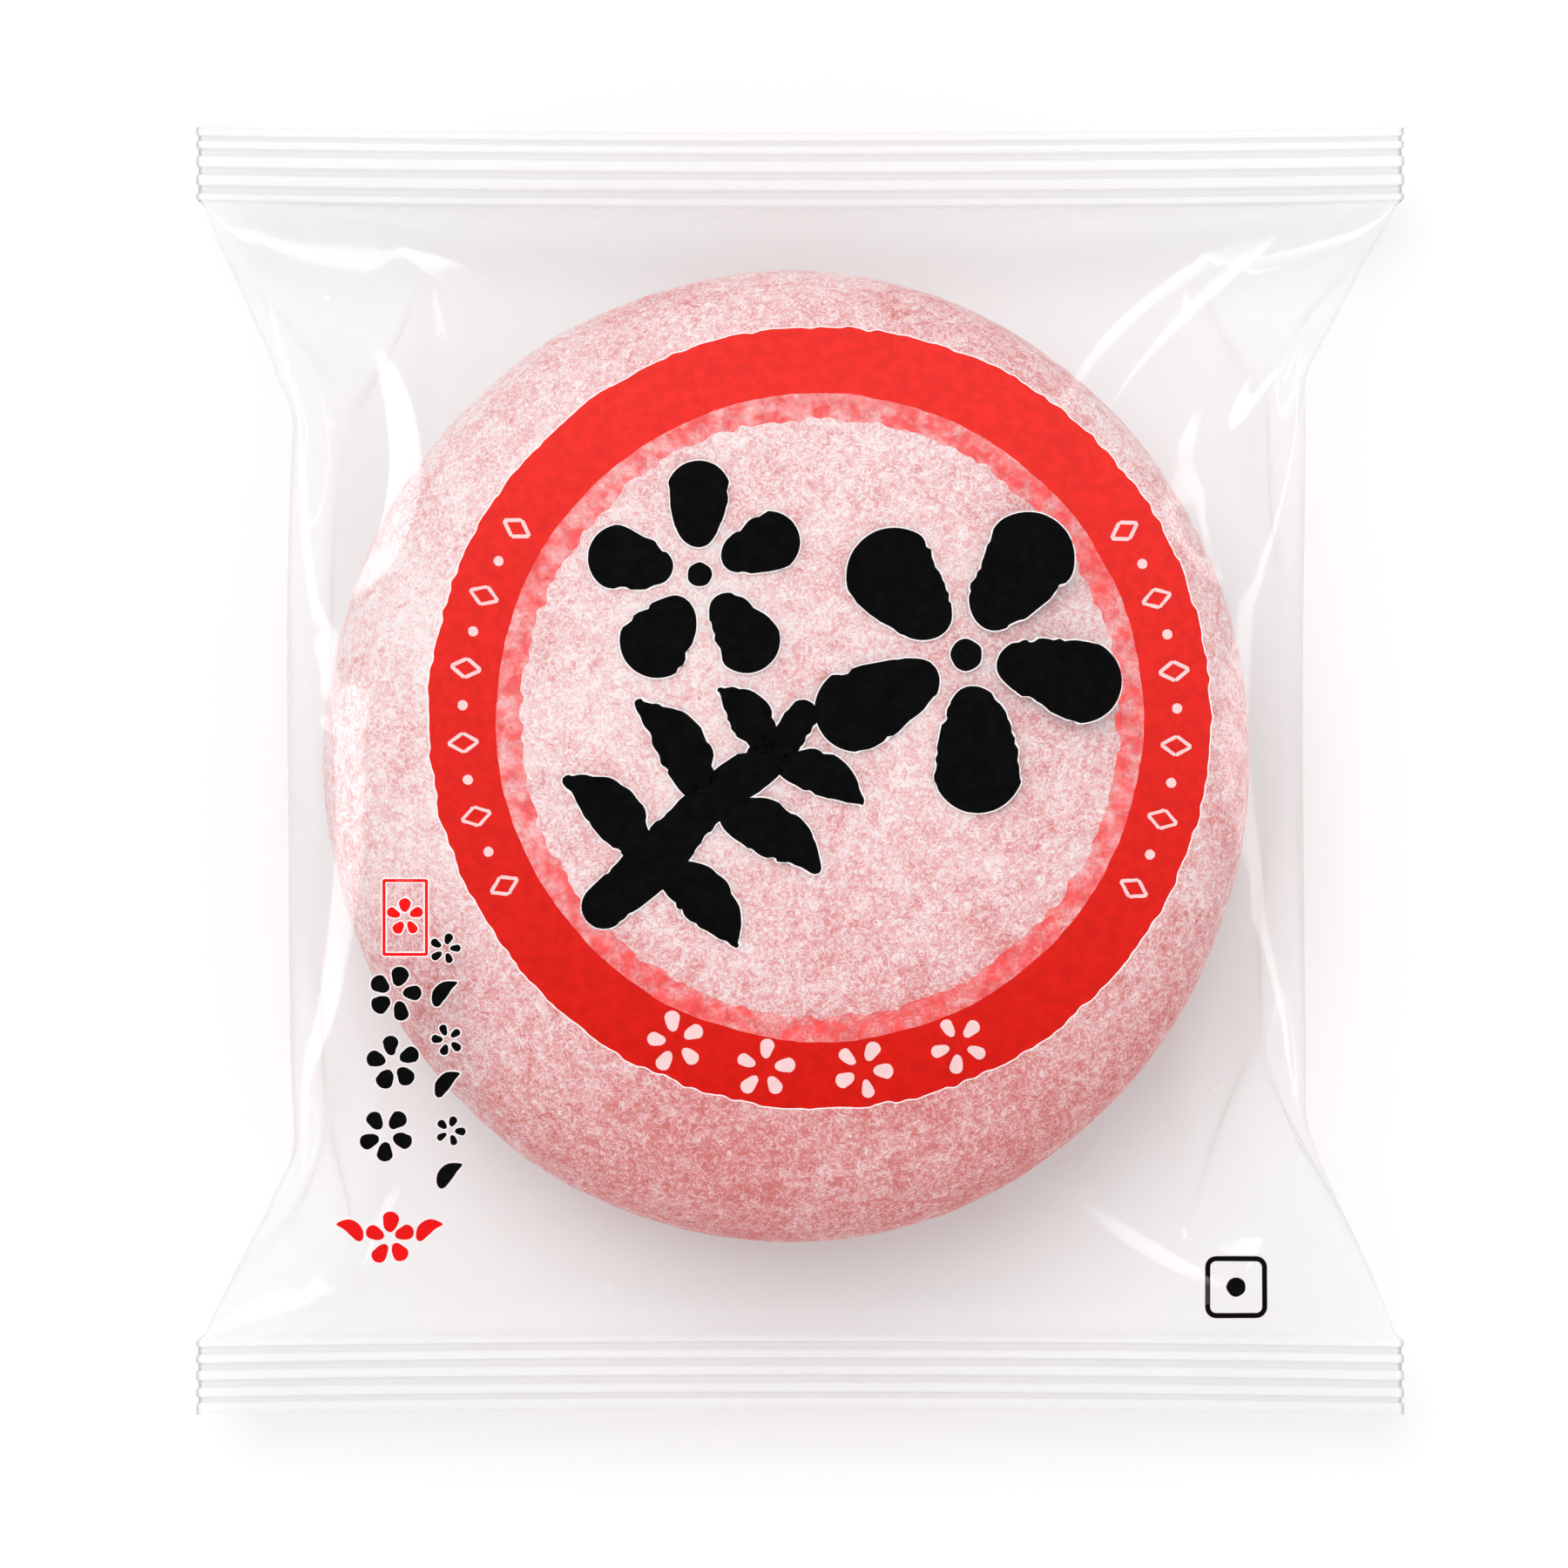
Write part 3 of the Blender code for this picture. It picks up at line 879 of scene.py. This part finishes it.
def blossom(centre, reach, turn, seed, grow=0.0, petals=5, inner=0.30, plump=0.56, rough=0.12):
    """A painted blossom: one dab of the brush for each petal, no two quite alike."""
    patches = []
    rng = np.random.default_rng(seed)
    whole = reach
    for petal in range(petals):
        angle = turn + petal * 2 * math.pi / petals + rng.uniform(-0.08, 0.08)
        reach = whole * rng.uniform(0.93, 1.05)
        plumpness = plump * rng.uniform(0.88, 1.12)
        out = np.array([math.cos(angle), math.sin(angle)])
        side = np.array([-out[1], out[0]])
        start = np.array(centre) + out * reach * inner
        path = [start, start + out * reach * 0.25 + side * reach * 0.02, np.array(centre) + out * reach]
        widths = [reach * plumpness * share for share in (0.45, 0.75, 0.95, 1.06, 1.0)]
        patches.append(brush(path, widths, seed + petal * 13, grow, rough))
    return patches


def on_ring(radius, degrees):
    angle = math.radians(degrees)
    return RING_CENTRE[0] + radius * math.cos(angle), RING_CENTRE[1] + radius * math.sin(angle)


def centre_motif(grow):
    """Two blossoms and a leafy sprig, painted with a broad brush."""
    patches = blossom((-8.3, 16.2), 9.2, 0.35, 51, grow, inner=0.24, plump=0.56, rough=0.24)
    patches.append(disc((-8.3, 16.2), 1.0, 58, grow))
    patches += blossom((13.7, 9.6), 13.0, 1.0, 61, grow, inner=0.20, plump=0.52, rough=0.26)
    patches.append(disc((13.7, 9.6), 1.3, 68, grow))
    patches.append(brush([(-17.6, -12.4), (-12.6, -8.0), (-8.0, -3.0), (-2.6, 1.2), (1.0, 5.6)],
                         [3.4, 4.2, 3.9, 3.4, 2.3], 71, grow, rough=0.22))
    leaves = (((-13.0, -7.2), (-19.6, -0.6), 4.4), ((-11.6, -8.2), (-5.2, -14.6), 4.4),
              ((-8.2, -2.4), (-13.6, 5.8), 4.3), ((-6.6, -3.6), (1.6, -8.4), 4.5),
              ((-2.8, 1.4), (-6.8, 6.8), 3.6), ((-2.0, 0.6), (5.2, -2.8), 3.6))
    for number, (root, tip, width) in enumerate(leaves):
        patches.append(leaf(root, tip, width, 80 + 5 * number, grow, 0.10 if number % 2 else -0.10, 0.22))
    return patches


def ring_marks():
    """Small ornaments on both arcs of the ring and four blossoms at its foot."""
    patches = []
    for number in range(11):
        for degrees in (208.0 - 6.0 * number, -28.5 + 6.0 * number):
            middle = np.array(on_ring(MARK_RADIUS, degrees))
            out = (middle - np.array(RING_CENTRE)) / MARK_RADIUS
            side = np.array([-out[1], out[0]])
            if number % 2:
                patches.append(disc(middle, 0.42, number + 300, around=14))
                continue
            corners = [middle + out * 1.25, middle + side * 0.8, middle - out * 1.25, middle - side * 0.8]
            for first, second in zip(corners, corners[1:] + corners[:1]):
                patches.append(brush([first, second], [0.3, 0.3], number + 320, rough=0.03, across=3))
    for number, degrees in enumerate((246.0, 261.0, 277.0, 293.0)):
        middle = np.array(on_ring(MARK_RADIUS - 0.2, degrees))
        patches += blossom(middle, 2.5, 0.4 + number, 340 + number, inner=0.34, plump=0.46, rough=0.05)
    return patches


def side_motif_black(grow):
    """Two columns of blossoms and leaves at the lower left, and a plain mark at the lower right."""
    patches = []
    for number, (x, y) in enumerate(((-33.4, -18.4), (-33.6, -24.1), (-34.2, -30.0))):
        patches += blossom((x, y), 2.2, 0.45 * number, 401 + number, grow, inner=0.28, plump=0.62, rough=0.08)
    for number in range(6):
        x, y = -29.3 + 0.10 * number, -14.7 - 3.75 * number
        if number % 2:
            patches.append(leaf((x - 0.9, y - 1.0), (x + 0.9, y + 1.0), 1.25, 431 + number, grow, 0.15, 0.05))
        else:
            seed = 461 + number
            patches += blossom((x, y), 1.3, 0.3 * number, seed, grow, inner=0.3, plump=0.5, rough=0.03)
    patches.append(frame_line((36.0, -42.6), 2.35, 2.35, 0.7, 0.42, grow))
    patches.append(disc((36.0, -42.6), 0.8, 491, grow, 18))
    return patches


def side_motif_red(grow):
    """A framed blossom, and a blossom with a leaf on each side."""
    patches = [frame_line((-32.6, -12.1), 1.75, 3.05, 0.05, 0.26, grow)]
    patches += blossom((-32.6, -12.1), 1.55, 0.3, 501, grow, inner=0.28, plump=0.56, rough=0.03)
    patches += blossom((-33.9, -38.6), 2.2, 0.31, 521, grow, inner=0.24, plump=0.58, rough=0.05)
    patches.append(leaf((-36.3, -38.8), (-38.3, -37.4), 1.2, 531, grow, -0.2, 0.04))
    patches.append(leaf((-31.5, -38.8), (-29.5, -37.4), 1.2, 541, grow, 0.2, 0.04))
    return patches


def build_print(printer):
    """The layers of print. Only the black ink shades what is below the film."""
    # The red ring ink darkens towards the near side: painted shade.
    red = ink_material("red_ink", (0.80, 0.034, 0.028), 0.07, shaded_near_colour=(0.63, 0.010, 0.006))
    bright_red = ink_material("bright_red_ink", (0.88, 0.010, 0.010), 0.03)
    thin_red = ink_material("thin_red_ink", (0.86, 0.06, 0.06), 0.12, thin=(0.36, 0.88))
    black = ink_material("black_ink", (0.003, 0.003, 0.003), 0.3)
    pale = ink_material("pale_ink", (0.90, 0.60, 0.60), 0.04)
    white = ink_material("rim_ink", (0.97, 0.90, 0.90), 0.02)
    count = 1100
    outer = RING_OUTER + ragged(count, RING_OUTER, 0.11, 3, 1.3)
    inner = RING_INNER + ragged(count, RING_INNER, 0.10, 5, 0.5)
    band = BAND_INNER + ragged(count, BAND_INNER, 0.20, 9, 1.4)
    layers = (
        ("print_rims", [ring_patch(outer - 0.5, outer + RIM, 3)] + centre_motif(RIM) + side_motif_black(RIM)
         + side_motif_red(RIM), white, "sweet", RIM_LIFT),
        ("ring", [ring_patch(inner, outer, 16)], red, "red_print", INK_LIFT),
        ("ring_band", [ring_patch(band, inner, 7)], thin_red, "red_print", RIM_LIFT),
        ("side_motif_red", side_motif_red(0.0), bright_red, "red_print", INK_LIFT),
        ("centre_motif", centre_motif(0.0), black, "black_print", INK_LIFT),
        ("side_motif_black", side_motif_black(0.0), black, "black_print", INK_LIFT),
        ("ring_marks", ring_marks(), pale, "sweet", MARK_LIFT),
    )
    pieces = []
    for name, patches, material, slot, lift in layers:
        points, faces = printer.lay(patches, lift)
        piece = make_piece(name, points, faces, material)
        piece.visible_shadow = piece.visible_diffuse = slot == "black_print"
        pieces.append(piece)
    return pieces


# Stage

def build_stage():
    bpy.ops.mesh.primitive_plane_add(size=3.0, location=(0, 0, -0.0002))
    floor = bpy.context.object
    floor.name = "floor"
    material, nodes, links = new_material("floor_paper")
    output = nodes.new("ShaderNodeOutputMaterial")
    shader = nodes.new("ShaderNodeBsdfDiffuse")
    shader.inputs["Color"].default_value = (0.93, 0.93, 0.93, 1)
    links.new(shader.outputs[0], output.inputs["Surface"])
    floor.data.materials.append(material)


def add_softbox(name, place, size, radiance):
    """A large lamp for the film's gloss: it lights nothing that is matt."""
    data = bpy.data.lights.new(name, "AREA")
    data.shape = "RECTANGLE"
    data.size, data.size_y = size
    data.energy = radiance * math.pi * size[0] * size[1]
    light = bpy.data.objects.new(name, data)
    light.location = place
    light.rotation_euler = Vector(place).to_track_quat("Z", "Y").to_euler()
    light.visible_diffuse = False
    bpy.context.scene.collection.objects.link(light)


def add_sun(name, place, strength, spread):
    """A far, broad lamp that isn't seen in the film's gloss."""
    data = bpy.data.lights.new(name, "SUN")
    data.energy = strength
    data.angle = math.radians(spread)
    light = bpy.data.objects.new(name, data)
    light.rotation_euler = Vector(place).to_track_quat("Z", "Y").to_euler()
    light.visible_glossy = False
    bpy.context.scene.collection.objects.link(light)


def build_lights():
    world = bpy.data.worlds.new("studio")
    world.use_nodes = True
    nodes, links = world.node_tree.nodes, world.node_tree.links
    place = nodes.new("ShaderNodeTexCoord")
    split = nodes.new("ShaderNodeSeparateXYZ")
    ramp = colour_ramp(nodes, [(height, (shade, shade, shade, 1)) for height, shade in SKY])
    links.new(place.outputs["Generated"], split.inputs[0])
    links.new(split.outputs["Z"], ramp.inputs["Fac"])
    links.new(ramp.outputs["Color"], nodes["Background"].inputs["Color"])
    nodes["Background"].inputs["Strength"].default_value = SKY_STRENGTH
    bpy.context.scene.world = world
    for name, (place, strength, spread) in SUNS.items():
        add_sun(name, place, strength, spread)
    for name, (place, size, radiance) in SOFTBOXES.items():
        add_softbox(name, place, size, radiance)


def build_camera():
    data = bpy.data.cameras.new("camera")
    data.sensor_width = SENSOR
    data.lens = SENSOR * (CAMERA_HEIGHT - SEAL_HEIGHT) / (PHOTO_SIDE * MM_PER_PIXEL)
    data.clip_start, data.clip_end = 0.01, 10.0
    camera = bpy.data.objects.new("camera", data)
    camera.location = (VIEW_CENTRE[0] * MM, VIEW_CENTRE[1] * MM, CAMERA_HEIGHT * MM)
    bpy.context.scene.collection.objects.link(camera)
    bpy.context.scene.camera = camera


bpy.context.scene.view_settings.view_transform = "Standard"
build_camera()
build_lights()
build_stage()
film = build_film(film_tube(), film_material())
sweet = build_sweet(sweet_material())
printer = Printer(film)
starch = ink_material("starch", (0.95, 0.90, 0.90), 0.03)
crumbs = build_crumbs(printer.tree, starch)
prints = build_print(printer)
for piece in [film, sweet, crumbs] + prints:
    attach(piece, "root")
    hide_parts("pack")
